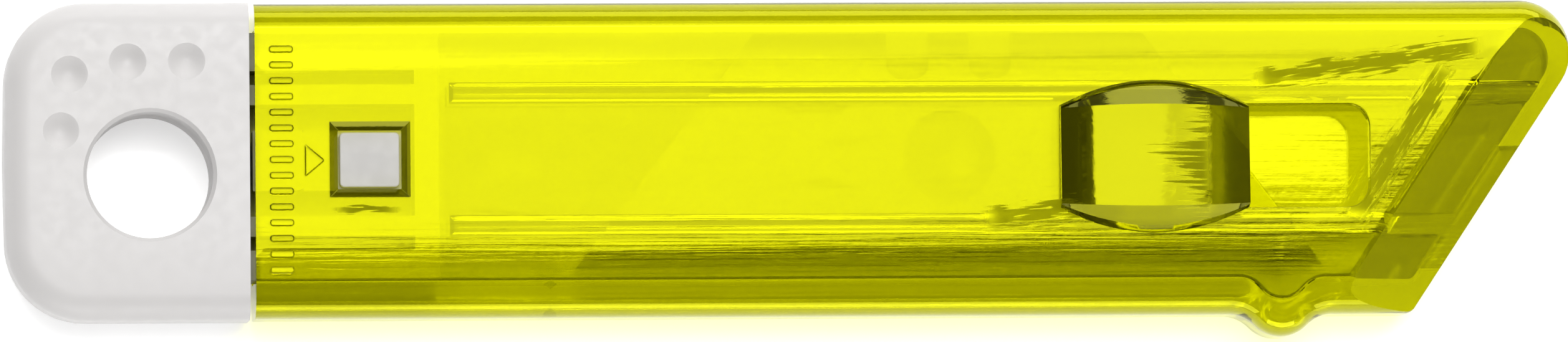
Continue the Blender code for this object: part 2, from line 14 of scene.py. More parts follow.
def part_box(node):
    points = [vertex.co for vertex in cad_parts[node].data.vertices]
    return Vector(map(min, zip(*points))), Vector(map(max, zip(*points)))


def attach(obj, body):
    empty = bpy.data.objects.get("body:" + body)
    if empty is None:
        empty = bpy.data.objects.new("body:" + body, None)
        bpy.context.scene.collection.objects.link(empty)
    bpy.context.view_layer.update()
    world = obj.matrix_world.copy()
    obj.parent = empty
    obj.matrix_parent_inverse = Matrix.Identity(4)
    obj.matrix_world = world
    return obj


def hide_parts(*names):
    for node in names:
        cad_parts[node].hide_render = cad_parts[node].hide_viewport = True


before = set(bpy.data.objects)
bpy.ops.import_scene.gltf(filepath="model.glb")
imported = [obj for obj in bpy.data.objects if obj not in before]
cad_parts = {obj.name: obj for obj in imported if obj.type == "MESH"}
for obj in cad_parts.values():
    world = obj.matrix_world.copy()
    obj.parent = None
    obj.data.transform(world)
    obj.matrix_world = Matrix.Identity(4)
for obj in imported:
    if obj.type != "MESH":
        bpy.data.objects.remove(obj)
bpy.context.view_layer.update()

MM = 0.001
SLEEVE_LOW, SLEEVE_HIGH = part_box("body_sleeve")
CAP_LOW, CAP_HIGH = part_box("end_cap")
BLADE_LOW, BLADE_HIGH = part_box("blade")
BUTTON_LOW, BUTTON_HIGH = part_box("thumb_button")
BAR_LOW, BAR_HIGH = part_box("slider_bar")
CARRIAGE_LOW, CARRIAGE_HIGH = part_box("blade_carriage")
TONGUE_LOW, TONGUE_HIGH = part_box("latch_tongue")
ARM_LOW, ARM_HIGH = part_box("click_arm")

TOP = SLEEVE_HIGH.z
HALF_WIDTH = SLEEVE_HIGH.y
EDGE_ROUND = 2.3 * MM
CROWN_WIDTH = 4.5 * MM
CROWN_SLOPE = 0.073
CROWN_STEPS = 10
FACE_WALL = 1.3 * MM
OVERLAP = 0.5 * MM
CLEAR_CUT = 5.0 * MM
SQUARE = 0.1 * MM

NOSE_LEAN = 0.664
NOSE_FOOT = 51.4 * MM
NOSE_TIP_ROUND = 4.35 * MM
NOSE_FOOT_ROUND = 1.0 * MM
NOSE_WALL = 2.05 * MM
NOSE_TAPER_RUN = 7.3 * MM
NOSE_TAPER_DROP = 1.9 * MM
CREASE_SPREAD = 0.35 * MM
CREASE_STEPS = 3

STOP_X = 40.5 * MM
STOP_DROP = 3.1 * MM
STOP_ROUND = 3.0 * MM
STOP_INNER_DROP = 2.7 * MM
STOP_INNER_ROUND = 2.2 * MM

HOLLOW_BOTTOM = -10.05 * MM
HOLLOW_TOP = 10.75 * MM
HOLLOW_FOOT_ROUND = 0.8 * MM
HOLLOW_TIP_ROUND = 2.6 * MM
HOLLOW_EDGE_ROUND = 0.35 * MM
HOLLOW_EDGE_STEPS = 4
RAIL_START = -28.4 * MM
RAIL_WIDTH = 1.75 * MM
RAIL_ROUND = 0.85 * MM
RAIL_ROUND_STEPS = 6
UPPER_RAIL = 4.6 * MM
LOWER_RAIL = -4.6 * MM
RAIL_BACK_TOP = 3.15 * MM
RAIL_FRONT_BOTTOM = 5.3 * MM
TRACK_MIDDLE = (UPPER_RAIL + LOWER_RAIL) / 2

SLOT_START = 24.0 * MM
SLOT_END = 47.8 * MM
SLOT_HALF = 4.26 * MM
SLOT_END_ROUND = 1.9 * MM
SLOT_START_ROUND = 0.6 * MM
RIM_ROUND = 0.1 * MM
RIM_STEPS = 4
RIM_CORNER_STEPS = 8
WINDOW_START = -37.6 * MM
WINDOW_END = -32.35 * MM
WINDOW_HALF = 2.42 * MM
WINDOW_CHAMFER = 0.7 * MM
WINDOW_CORNER_STEPS = 4
SLIT_START = 49.1 * MM
SLIT_BOTTOM = -9.2 * MM
SLIT_TOP = 1.0 * MM
SLIT_BACK = 4.2 * MM
SLIT_FRONT = 6.1 * MM

CAP_FACE = -44.85 * MM
CAP_ROUND = 6.6 * MM
CAP_BOW = 0.25 * MM
CAP_BOW_ROUND = 60 * MM
EYE_X, EYE_Y = -53.05 * MM, -1.2 * MM
EYE_RADIUS = 5.2 * MM
EYE_FLARE = 0.3 * MM
EYE_FLARE_STEPS = 6
DIMPLES = (
    (-59.7 * MM, 7.15 * MM),
    (-54.85 * MM, 8.2 * MM),
    (-50.0 * MM, 8.25 * MM),
    (-60.45 * MM, 2.45 * MM),
)
DIMPLE_RADIUS = 1.6 * MM
DIMPLE_DEPTH = 0.6 * MM
DIMPLE_FALL = 1.3
DIMPLE_STEPS = 12
DIMPLE_SIDES = 40
PLUG_END_WALL = 2.0 * MM
PLUG_FLOOR = 2.7 * MM
PLUG_BAYS = ((6.25 * MM, 7.4 * MM), (-4.6 * MM, 4.6 * MM), (-7.4 * MM, -6.25 * MM))
TONGUE_ROOT_END = -39.9 * MM
TONGUE_BOTTOM = 5.9 * MM
TONGUE_TOP = 7.4 * MM
TONGUE_ROOT_ROUND = 1.2 * MM
TONGUE_ROOT_STEPS = 6
LATCH_CLEARANCE = 0.15 * MM
LATCH_ROUND = 0.4 * MM
LATCH_EDGE_ROUND = 0.15 * MM
LATCH_EDGE_STEPS = 4
RUNNING_GAP = 0.3 * MM
CLOSE_GAP = 0.2 * MM

MARK_COUNT = 15
MARK_PITCH = 1.3 * MM
MARK_START, MARK_END = -43.25 * MM, -41.25 * MM
MARK_HALF = 0.3 * MM
MARK_ROUND = 0.9 * MARK_HALF
MARK_PROFILE = (
    (0.0, TOP - 0.6 * MM),
    (0.0, TOP + 0.06 * MM),
    (0.05 * MM, TOP + 0.12 * MM),
    (0.12 * MM, TOP + 0.14 * MM),
)
ARROW_START, ARROW_END = -40.35 * MM, -38.65 * MM
ARROW_MIDDLE = -0.08 * MM
ARROW_HALF = 1.4 * MM

BLADE_MIDDLE = (BLADE_LOW.x + BLADE_HIGH.x) / 2
BLADE_LEAN = 0.78
BEVEL_HEIGHT = 1.5 * MM
EDGE_THICKNESS = 0.06 * MM
HONED_HEIGHT = 0.35 * MM
HONED_THICKNESS = 0.2 * MM
NOTCH_SPACING = 6.85 * MM
NOTCH_WIDTH = 3.5 * MM
NOTCH_DEPTH = 3.6 * MM
NOTCH_ROUND = 1.2 * MM
BLADE_HOLE = 3.8 * MM
BLADE_HOLE_Y = 0.3 * MM

PLATE_TOP = BLADE_LOW.z - CLOSE_GAP
SHELF_HALF = 7.0 * MM
FOOT_END = -19.2 * MM
FOOT_BOTTOM = -6.6 * MM
PEG_RADIUS = 3.6 * MM
BAR_ROUND = 1.5 * MM
RAMP_START = 33.8 * MM
RAMP_SLOPE = 0.29
POCKET_END = -15.3 * MM
POCKET_HALF = 2.9 * MM
POCKET_DEPTH = 0.8 * MM
TAIL_HOLE = (-24.6 * MM, -20.2 * MM)
TAIL_HOLE_HALF = 1.1 * MM
LEG_RADIUS = 2.3 * MM
LEG_SHIFT = 0.4 * MM

NECK_START = 24.3 * MM
NECK_END = 31.5 * MM
NECK_HALF = 3.7 * MM
NECK_ROUND = 1.0 * MM
NECK_POCKET_FLOOR = 5.8 * MM

ARM_THICKNESS = 0.9 * MM
ARM_HEEL_LENGTH = 1.2 * MM
ARM_HEEL_DROP = 0.6 * MM
TOOTH_HALF = 0.85 * MM
CLICK_DEPTH = 0.55 * MM

BUTTON_BASE = TOP + CLOSE_GAP
BUTTON_CREST_HALF = 3.95 * MM
BUTTON_CREST_BULGE = 0.27 * MM
BUTTON_RIM = 0.6 * MM
BUTTON_RIM_SLANT = 0.3 * MM
SADDLE_TILT = 0.05
BUTTON_STEPS = 48
BUTTON_WING_STEPS = 6

CORNER_STEPS = 14
EDGE_STEPS = 12
CIRCLE_STEPS = 64
HALF_DISC_STEPS = 32
ROOM_FOR_ROUNDS = 0.99
SHARP = math.radians(12)
BLADE_SHARP = math.radians(4)
FLAT_FACE_WEIGHT = 80

# Colours are linear, and a mirror colour tints what the surface reflects.
PLASTIC_IOR = 1.8
SLEEVE_TINT = (0.36, 0.36, 0.0, 1.0)
PAD_TINT = (0.26, 0.26, 0.0, 1.0)
CLEAR_MIRROR = (1.0, 1.0, 0.015, 1.0)
CLEAR_SHADOW = (0.80, 0.80, 0.0, 1.0)
SLIDER_TINT = (0.5, 0.5, 0.0, 1.0)
SLIDER_MIRROR = (1.0, 1.0, 0.03, 1.0)
SLIDER_THROUGH = (0.93, 0.93, 0.02, 1.0)
CAP_DARK = (0.47, 0.457, 0.45)
CAP_PALE = (0.51, 0.498, 0.491)
# Painted shade: the latch's copy of the cap white is darker, standing in for the shadow on it where it sits
# sunk in the window.
LATCH_PAINTED_SHADE = 0.78
# Painted shade: a dark band on the plug in the open seam between cap and sleeve, standing in for the seam's
# shadow.
SEAM_PAINTED_SHADE = (0.05, 0.05, 0.052, 1.0)
SEAM_SHADE_STRENGTH = 0.88
STEEL = (0.32, 0.32, 0.33, 1.0)
FLOOR_GREY = (0.85, 0.85, 0.85, 1.0)
FLOOR_GLOW = 0.4

# Worn streaks on the sleeve, as (start, end, half width). The belt is the scratched band under them.
SLEEVE_WEAR = (
    ((37.5 * MM, 6.2 * MM), (58.0 * MM, 9.1 * MM), 0.75 * MM),
    ((46.0 * MM, -5.8 * MM), (54.9 * MM, 8.0 * MM), 0.9 * MM),
    ((15.0 * MM, -5.1 * MM), (26.0 * MM, -4.2 * MM), 0.8 * MM),
    ((-38.8 * MM, -4.15 * MM), (-31.8 * MM, -4.15 * MM), 0.28 * MM),
)
STREAK_STRETCH = 0.09
STREAK_GRAIN = 4200.0
STREAK_RAGGED = 5.0
STREAK_RIM = (3.55, 3.15)
STREAK_FADE = 2.5 * MM
STREAK_ROUGHNESS = 0.7
BELT_TOP = (-4.0 * MM, -6.5 * MM)
BELT_FOOT = (-10.5 * MM, -9.5 * MM)
SCUFF_START = BUTTON_LOW.x + 5.3 * MM
SCUFF_LENGTH = 7.2 * MM
SCUFF_MIDDLE = -0.3 * MM

FLOOR_HALF = 6.0
FLOOR_DROP = 0.02 * MM
VIEW_TILT = math.radians(3.5)
VIEW_TURN = math.radians(-5.0)
VIEW_ROLL = math.radians(0.54)
CAMERA_DISTANCE = 1.2
CAMERA_CLIP = (0.01, 20.0)
SENSOR_WIDTH = 36.0
FRAME_WIDTH = 129.673 * MM
AIM = Vector((-0.443 * MM, -0.831 * MM, 4.5 * MM))

# Overhead boxes, as (name, near edge, far edge, height, radiance), with the edges measured from the foot.
ROOM_RADIANCE = 0.3
BOX_TURN = math.radians(19)
BOX_FOOT = Vector((0.231, 0.083))
BOX_WIDTH = 1.08
BOXES = (
    ("softbox", 0.0, 0.95, 1.4, 2.6),
    ("core", 0.0, 0.48, 1.38, 3.9),
    ("upper_core", 0.12, 0.60, 1.36, 2.2),
)
# Low panels, as (name, place, width, height, radiance), which all face the knife.
SIDE_PANELS = (
    ("front_panel", (0.05, -1.40, 0.37), 1.8, 0.60, 3.5),
    ("rear_panel", (0.05, 1.40, 0.50), 1.8, 0.60, 3.6),
    ("nose_panel", (1.20, -0.42, 1.20), 0.5, 0.50, 1.0),
)
STRIP_PLACE = Vector((-0.05, 0.40, 1.3))
STRIP_SIZE = (0.66, 0.03)
STRIP_RADIANCE = 40.0


# Outlines, all counter-clockwise


def turned(point, angle):
    cosine, sine = math.cos(angle), math.sin(angle)
    return Vector((point.x * cosine - point.y * sine, point.x * sine + point.y * cosine))


def filleted(corners, inset=0.0, steps=CORNER_STEPS):
    """Points round a polygon of (x, y, radius) corners, moved inwards by inset."""
    sides = []
    for (x, y, _), (next_x, next_y, _) in zip(corners, corners[1:] + corners[:1]):
        way = Vector((next_x - x, next_y - y)).normalized()
        sides.append((Vector((x, y)) + inset * Vector((-way.y, way.x)), way))
    sharp_corners, turns = [], []
    for i in range(len(corners)):
        (start, before), (after_start, after) = sides[i - 1], sides[i]
        turn = before.cross(after)
        sharp_corners.append(start + before * ((after_start - start).cross(after) / turn))
        turns.append(turn)
    rounds = [
        max(radius - math.copysign(inset, turn), SQUARE / 2) for (_, _, radius), turn in zip(corners, turns)
    ]
    sweeps = [math.copysign(sides[i - 1][1].angle(sides[i][1]), turns[i]) for i in range(len(corners))]
    reaches = [radius * math.tan(abs(sweep) / 2) for radius, sweep in zip(rounds, sweeps)]
    room = []
    for i, corner in enumerate(sharp_corners):
        length = (sharp_corners[(i + 1) % len(corners)] - corner).length
        room.append(min(1.0, ROOM_FOR_ROUNDS * length / (reaches[i] + reaches[(i + 1) % len(corners)])))
    points = []
    for i, corner in enumerate(sharp_corners):
        before, sweep = sides[i - 1][1], sweeps[i]
        share = min(room[i - 1], room[i])
        reach, rounded = reaches[i] * share, rounds[i] * share
        to_centre = math.copysign(rounded, sweep) * Vector((-before.y, before.x))
        centre = corner - before * reach + to_centre
        points += [centre + turned(-to_centre, sweep * step / steps) for step in range(steps + 1)]
    return points


def circle(x, y, radius, steps=CIRCLE_STEPS):
    return [Vector((x, y)) + turned(Vector((radius, 0)), 2 * math.pi * i / steps) for i in range(steps)]


def rectangle(x0, x1, y0, y1):
    return [Vector((x0, y0)), Vector((x1, y0)), Vector((x1, y1)), Vector((x0, y1))]


def round_corners(x0, x1, y0, y1, start_round, end_round):
    return [(x0, y0, start_round), (x1, y0, end_round), (x1, y1, end_round), (x0, y1, start_round)]


# Solids


def new_object(name, work):
    bmesh.ops.recalc_face_normals(work, faces=work.faces)
    mesh = bpy.data.meshes.new(name)
    work.to_mesh(mesh)
    work.free()
    made = bpy.data.objects.new(name, mesh)
    bpy.context.scene.collection.objects.link(made)
    return made


def lofted(levels):
    """A closed solid through loops of equally many points, given as (z, points) from the bottom up."""
    work = bmesh.new()
    loops = [[work.verts.new((p.x, p.y, z)) for p in points] for z, points in levels]
    work.faces.new(list(reversed(loops[0])))
    work.faces.new(loops[-1])
    for lower, upper in zip(loops, loops[1:]):
        for i in range(len(lower)):
            j = (i + 1) % len(lower)
            work.faces.new((lower[i], lower[j], upper[j], upper[i]))
    return work


def prism(name, points, bottom, top):
    return new_object(name, lofted([(bottom, points), (top, points)]))


def slab(corners, profile):
    """A solid whose outline shrinks by each inset at its height, for (inset, z) pairs from the bottom up."""
    return lofted([(z, filleted(corners, inset)) for inset, z in profile])


def edge_profile(radius, bottom, top, steps=EDGE_STEPS):
    """A profile with both rims rounded."""
    lower = []
    for step in range(steps + 1):
        angle = math.pi / 2 * step / steps
        lower.append((radius * (1 - math.sin(angle)), bottom + radius * (1 - math.cos(angle))))
    return lower + [(inset, top + bottom - z) for inset, z in reversed(lower)]


def crowned_profile(radius, bottom, top):
    """A rounded profile whose upper face also falls away a little towards its rim."""
    lower = edge_profile(radius, bottom, top)[: EDGE_STEPS + 1]
    end_angle = math.pi / 2 - math.atan(CROWN_SLOPE)
    drop = CROWN_SLOPE * CROWN_WIDTH / 2
    centre = top - drop - radius * math.sin(end_angle)
    upper = []
    for step in range(EDGE_STEPS + 1):
        angle = end_angle * step / EDGE_STEPS
        upper.append((radius * (1 - math.cos(angle)), centre + radius * math.sin(angle)))
    start = upper[-1][0]
    for step in range(1, CROWN_STEPS + 1):
        share = step / CROWN_STEPS
        upper.append((start + CROWN_WIDTH * share, top - drop * (1 - share) ** 2))
    return lower + upper


def keep_below(work, point, normal):
    """Cuts the solid with a plane and closes it, dropping what lies on the normal's side."""
    everything = work.verts[:] + work.edges[:] + work.faces[:]
    cut = bmesh.ops.bisect_plane(work, geom=everything, plane_co=point, plane_no=normal, clear_outer=True)
    rim = [part for part in cut["geom_cut"] if isinstance(part, bmesh.types.BMEdge)]
    if rim:
        bmesh.ops.contextual_create(work, geom=rim)


def combine(target, others, operation="DIFFERENCE"):
    """Cuts the others from the target, or joins them to it, and removes them."""
    for other in others:
        step = target.modifiers.new(other.name, "BOOLEAN")
        step.operation = operation
        step.object = other
    depsgraph = bpy.context.evaluated_depsgraph_get()
    mesh = bpy.data.meshes.new_from_object(target.evaluated_get(depsgraph))
    target.modifiers.clear()
    target.data = mesh
    mesh.name = target.name
    for other in others:
        bpy.data.objects.remove(other)
    return target


def smooth(piece, sharp=SHARP):
    """Smooth shading that leaves flat faces flat."""
    piece.data.shade_smooth()
    piece.data.set_sharp_from_angle(angle=sharp)
    step = piece.modifiers.new("flat_faces", "WEIGHTED_NORMAL")
    step.keep_sharp = True
    step.weight = FLAT_FACE_WEIGHT
    return piece


def finish_piece(piece, node, body, look):
    piece.data.materials.clear()
    piece.data.materials.append(look)
    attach(piece, body)
    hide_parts(node)
    return piece


# Sleeve


def nose_x(y):
    return NOSE_FOOT + (y + HALF_WIDTH) * NOSE_LEAN


def taper_nose(work, depth, steps):
    """Slopes both faces down to the slanted edge, in a few small turns so that the crease is soft."""
    across = Vector((1.0, -NOSE_LEAN, 0.0)).normalized()
    run = NOSE_TAPER_RUN * across.x
    slope = math.atan2(NOSE_TAPER_DROP, run)
    crease = Vector((nose_x(0.0) - NOSE_TAPER_RUN, 0, 0))
    for z, side in ((TOP, 1), (0.0, -1)):
        for step in range(1, steps + 1):
            angle = slope * step / steps
            normal = across * math.sin(angle) + Vector((0, 0, side * math.cos(angle)))
            lead = across * CREASE_SPREAD * (1 - step / steps)
            keep_below(work, crease - lead + Vector((0, 0, z)) - normal * depth, normal)


def stop_corners(y, drop, radius):
    return [(STOP_X - drop, y, radius), (STOP_X, y - drop, radius), (STOP_X + drop, y, radius)]


def sleeve_outline(start):
    corners = [(start, -HALF_WIDTH, SQUARE)]
    corners += stop_corners(-HALF_WIDTH, STOP_DROP, STOP_ROUND)
    corners += [
        (NOSE_FOOT, -HALF_WIDTH, NOSE_FOOT_ROUND),
        (nose_x(HALF_WIDTH), HALF_WIDTH, NOSE_TIP_ROUND),
        (start, HALF_WIDTH, SQUARE),
    ]
    return corners


def sleeve_hollow():
    start = SLEEVE_LOW.x - CLEAR_CUT
    corners = [(start, HOLLOW_BOTTOM, SQUARE)]
    corners += stop_corners(HOLLOW_BOTTOM, STOP_INNER_DROP, STOP_INNER_ROUND)
    corners += [
        (nose_x(HOLLOW_BOTTOM) - NOSE_WALL, HOLLOW_BOTTOM, HOLLOW_FOOT_ROUND),
        (nose_x(HOLLOW_TOP) - NOSE_WALL, HOLLOW_TOP, HOLLOW_TIP_ROUND),
        (start, HOLLOW_TOP, SQUARE),
    ]
    work = slab(corners, edge_profile(HOLLOW_EDGE_ROUND, FACE_WALL, TOP - FACE_WALL, HOLLOW_EDGE_STEPS))
    taper_nose(work, FACE_WALL, 1)
    hollow = new_object("hollow", work)
    rails = []
    for low in (UPPER_RAIL, LOWER_RAIL - RAIL_WIDTH):
        strip = round_corners(RAIL_START, SLEEVE_HIGH.x + CLEAR_CUT, low, low + RAIL_WIDTH, SQUARE, SQUARE)
        for bottom, top in ((-CLEAR_CUT, RAIL_BACK_TOP), (RAIL_FRONT_BOTTOM, TOP + CLEAR_CUT)):
            profile = edge_profile(RAIL_ROUND, bottom, top, RAIL_ROUND_STEPS)
            rails.append(new_object("rail", slab(strip, profile)))
    return combine(hollow, rails)


def flared(name, corners, bottom, top, flare):
    """A cutter through a face at height top, whose mouth flares out in a small round."""
    levels = [(bottom, filleted(corners, 0.0, RIM_CORNER_STEPS))]
    for step in range(RIM_STEPS + 1):
        angle = math.pi / 2 * step / RIM_STEPS
        outline = filleted(corners, -flare * (1 - math.cos(angle)), RIM_CORNER_STEPS)
        levels.append((top - flare * (1 - math.sin(angle)), outline))
    levels.append((top + OVERLAP, levels[-1][1]))
    return new_object(name, lofted(levels))


def chamfered(name, corners, bottom, top, width):
    """A cutter through a face at height top, whose mouth has a straight chamfer."""
    inner = filleted(corners, 0.0, WINDOW_CORNER_STEPS)
    outer = filleted(corners, -width, WINDOW_CORNER_STEPS)
    levels = [(bottom, inner), (top - width, inner), (top, outer), (top + OVERLAP, outer)]
    return new_object(name, lofted(levels))


def raised_marks():
    """A column of short raised bars and an arrow head that point out the latch."""
    marks = []
    for i in range(MARK_COUNT):
        y = (i - (MARK_COUNT - 1) / 2) * MARK_PITCH
        corners = round_corners(MARK_START, MARK_END, y - MARK_HALF, y + MARK_HALF, MARK_ROUND, MARK_ROUND)
        marks.append(new_object("mark", slab(corners, MARK_PROFILE)))
    arrow = [
        (ARROW_START, ARROW_MIDDLE - ARROW_HALF, SQUARE),
        (ARROW_END, ARROW_MIDDLE, 2 * SQUARE),
        (ARROW_START, ARROW_MIDDLE + ARROW_HALF, SQUARE),
    ]
    marks.append(new_object("arrow", slab(arrow, MARK_PROFILE)))
    return marks


def make_sleeve():
    work = slab(sleeve_outline(SLEEVE_LOW.x - CLEAR_CUT), crowned_profile(EDGE_ROUND, 0.0, TOP))
    keep_below(work, Vector((SLEEVE_LOW.x, 0, 0)), Vector((-1, 0, 0)))
    taper_nose(work, 0.0, CREASE_STEPS)
    sleeve = new_object("clear_sleeve", work)
    low, high = TRACK_MIDDLE - SLOT_HALF, TRACK_MIDDLE + SLOT_HALF
    slot = round_corners(SLOT_START, SLOT_END, low, high, SLOT_START_ROUND, SLOT_END_ROUND)
    window = round_corners(WINDOW_START, WINDOW_END, -WINDOW_HALF, WINDOW_HALF, SQUARE, SQUARE)
    slit = rectangle(SLIT_START, SLEEVE_HIGH.x + CLEAR_CUT, SLIT_BOTTOM, SLIT_TOP)
    cutters = [
        sleeve_hollow(),
        flared("slot", slot, TOP - FACE_WALL - OVERLAP, TOP, RIM_ROUND),
        chamfered("window", window, TOP - FACE_WALL - OVERLAP, TOP, WINDOW_CHAMFER),
        prism("slit", slit, SLIT_BACK, SLIT_FRONT),
    ]
    return smooth(combine(combine(sleeve, cutters), raised_marks(), "UNION"))


# End cap and latch


def flared_hole(x, y, radius, bottom, top, flare):
    """A round cutter that flares out in a round at both faces."""
    levels = [(bottom - OVERLAP, circle(x, y, radius + flare))]
    for step in range(EYE_FLARE_STEPS + 1):
        rise = math.sin(math.pi / 2 * step / EYE_FLARE_STEPS)
        levels.append((bottom + flare * rise, circle(x, y, radius + flare * (1 - rise))))
    return new_object("hole", lofted(levels + [(top + bottom - z, points) for z, points in reversed(levels)]))


def dimple(x, y):
    """A shallow bowl, with a soft rim where it meets the cap's face."""
    levels = []
    for step in range(1, DIMPLE_STEPS + 1):
        share = step / DIMPLE_STEPS
        depth = DIMPLE_DEPTH * (1 - share**2) ** DIMPLE_FALL
        levels.append((CAP_HIGH.z - depth, circle(x, y, DIMPLE_RADIUS * share, DIMPLE_SIDES)))
    levels.append((CAP_HIGH.z + OVERLAP, circle(x, y, DIMPLE_RADIUS, DIMPLE_SIDES)))
    return new_object("dimple", lofted(levels))


def make_cap():
    """The cap with its slightly bowed end, eye and dimples, and the plug with its three bays."""
    far = CAP_FACE + CLEAR_CUT
    low, high = CAP_LOW.y, CAP_HIGH.y
    corners = [
        (CAP_LOW.x + CAP_BOW, low, CAP_ROUND),
        (far, low, SQUARE),
        (far, high, SQUARE),
        (CAP_LOW.x + CAP_BOW, high, CAP_ROUND),
        (CAP_LOW.x, (low + high) / 2, CAP_BOW_ROUND),
    ]
    work = slab(corners, crowned_profile(EDGE_ROUND, CAP_LOW.z, CAP_HIGH.z))
    keep_below(work, Vector((CAP_FACE, 0, 0)), Vector((1, 0, 0)))
    cap = new_object("white_cap", work)
    plug = rectangle(CAP_FACE - OVERLAP, CAP_HIGH.x, HOLLOW_BOTTOM + CLOSE_GAP, HOLLOW_TOP - CLOSE_GAP)
    combine(cap, [prism("plug", plug, FACE_WALL + CLOSE_GAP, TOP - FACE_WALL - CLOSE_GAP)], "UNION")
    cutters = [flared_hole(EYE_X, EYE_Y, EYE_RADIUS, CAP_LOW.z, CAP_HIGH.z, EYE_FLARE)]
    cutters += [dimple(x, y) for x, y in DIMPLES]
    for low, high in PLUG_BAYS:
        bay = rectangle(CAP_FACE, CAP_HIGH.x - PLUG_END_WALL, low, high)
        cutters.append(prism("bay", bay, PLUG_FLOOR, TOP))
    return smooth(combine(cap, cutters))


def make_latch():
    low, high = TONGUE_LOW.y, TONGUE_HIGH.y
    root = round_corners(TONGUE_LOW.x, TONGUE_ROOT_END, low, high, SQUARE, TONGUE_ROOT_ROUND)
    tongue = prism("white_latch", filleted(root, 0.0, TONGUE_ROOT_STEPS), TONGUE_LOW.z, TONGUE_TOP)
    finger = rectangle(TONGUE_ROOT_END - OVERLAP, TONGUE_HIGH.x, low, high)
    head_start, head_end = WINDOW_START + LATCH_CLEARANCE, WINDOW_END - LATCH_CLEARANCE
    head_half = WINDOW_HALF - LATCH_CLEARANCE
    head = round_corners(head_start, head_end, -head_half, head_half, LATCH_ROUND, LATCH_ROUND)
    rims = edge_profile(LATCH_EDGE_ROUND, TONGUE_BOTTOM, TONGUE_HIGH.z, LATCH_EDGE_STEPS)
    profile = [(0.0, TONGUE_BOTTOM + OVERLAP)] + rims[LATCH_EDGE_STEPS + 1 :]
    others = [
        prism("finger", finger, TONGUE_BOTTOM, TONGUE_TOP - SQUARE),
        new_object("head", slab(head, profile)),
    ]
    return smooth(combine(tongue, others, "UNION"))


# Blade and slider


def blade_end(y):
    return BLADE_HIGH.x - (y - BLADE_LOW.y) * BLADE_LEAN


def notch_middles():
    return [BLADE_MIDDLE + side * NOTCH_SPACING / 2 for side in (-1, 1)]


def half_disc(side, radius, shift):
    """Half of a disc round the blade's hole, on the side of the nose (1) or of the cap (-1)."""
    first = Vector((0, -side * radius))
    centre = Vector((BLADE_MIDDLE + side * shift, BLADE_HOLE_Y))
    return [centre + turned(first, math.pi * i / HALF_DISC_STEPS) for i in range(HALF_DISC_STEPS + 1)]


def notch_outline(x, half, bottom, top):
    """A notch open at its top, with a rounded floor."""
    return filleted(
        [
            (x - half, bottom, NOTCH_ROUND),
            (x + half, bottom, NOTCH_ROUND),
            (x + half, top, SQUARE),
            (x - half, top, SQUARE),
        ]
    )


def make_blade():
    """The trapezoid blade, ground to its edge in two steps, with its hole and the notches in its back."""
    length = BLADE_HIGH.x - BLADE_LOW.x
    middle = (BLADE_LOW.z + BLADE_HIGH.z) / 2
    thick = BLADE_HIGH.z - BLADE_LOW.z
    work = bmesh.new()
    rows = []
    for up, thickness in (
        (0.0, EDGE_THICKNESS),
        (HONED_HEIGHT, HONED_THICKNESS),
        (BEVEL_HEIGHT, thick),
        (BLADE_HIGH.y - BLADE_LOW.y, thick),
    ):
        x_half, z_half = length / 2 - up * BLADE_LEAN, thickness / 2
        section = rectangle(BLADE_MIDDLE - x_half, BLADE_MIDDLE + x_half, middle - z_half, middle + z_half)
        rows.append([work.verts.new((p.x, BLADE_LOW.y + up, p.y)) for p in section])
    work.faces.new(rows[0])
    work.faces.new(rows[-1])
    for lower, upper in zip(rows, rows[1:]):
        for i in range(4):
            j = (i + 1) % 4
            work.faces.new((lower[i], lower[j], upper[j], upper[i]))
    blade = new_object("steel_blade", work)
    below, above = BLADE_LOW.z - OVERLAP, BLADE_HIGH.z + OVERLAP
    half = NOTCH_WIDTH / 2
    bottom, top = BLADE_HIGH.y - NOTCH_DEPTH, BLADE_HIGH.y + OVERLAP
    cutters = [prism("blade_hole", circle(BLADE_MIDDLE, BLADE_HOLE_Y, BLADE_HOLE), below, above)]
    cutters += [prism("notch", notch_outline(x, half, bottom, top), below, above) for x in notch_middles()]
    return smooth(combine(blade, cutters), BLADE_SHARP)


def make_carriage():
    """The slider's rear half: a rib between the rails, its plates, and the pegs that hold the blade."""
    low, high = LOWER_RAIL + RUNNING_GAP, UPPER_RAIL - RUNNING_GAP
    rib = rectangle(CARRIAGE_LOW.x, CARRIAGE_HIGH.x, low, high)
    carriage = prism("carriage", rib, CARRIAGE_LOW.z, PLATE_TOP)
    others = []
    for x0, x1, y0, y1 in (
        (BLADE_MIDDLE - SHELF_HALF, BLADE_MIDDLE + SHELF_HALF, high - OVERLAP, CARRIAGE_HIGH.y),
        (CARRIAGE_LOW.x, FOOT_END, FOOT_BOTTOM, low + OVERLAP),
        (CARRIAGE_LOW.x, ARM_LOW.x - CLOSE_GAP, CARRIAGE_LOW.y, FOOT_BOTTOM + OVERLAP),
    ):
        others.append(prism("plate", rectangle(x0, x1, y0, y1), ARM_LOW.z, PLATE_TOP))
    others.append(prism("peg", half_disc(-1, PEG_RADIUS, SQUARE), PLATE_TOP - OVERLAP, CARRIAGE_HIGH.z))
    half = NOTCH_WIDTH / 2 - CLOSE_GAP
    bottom, top = BLADE_HIGH.y - NOTCH_DEPTH + CLOSE_GAP, BLADE_HIGH.y - OVERLAP
    for x in notch_middles():
        others.append(prism("peg", notch_outline(x, half, bottom, top), PLATE_TOP - OVERLAP, CARRIAGE_HIGH.z))
    combine(carriage, others, "UNION")
    leg_hole = prism("leg_hole", half_disc(1, LEG_RADIUS + RUNNING_GAP, LEG_SHIFT - CLOSE_GAP), 0.0, TOP)
    return smooth(combine(carriage, [leg_hole]))


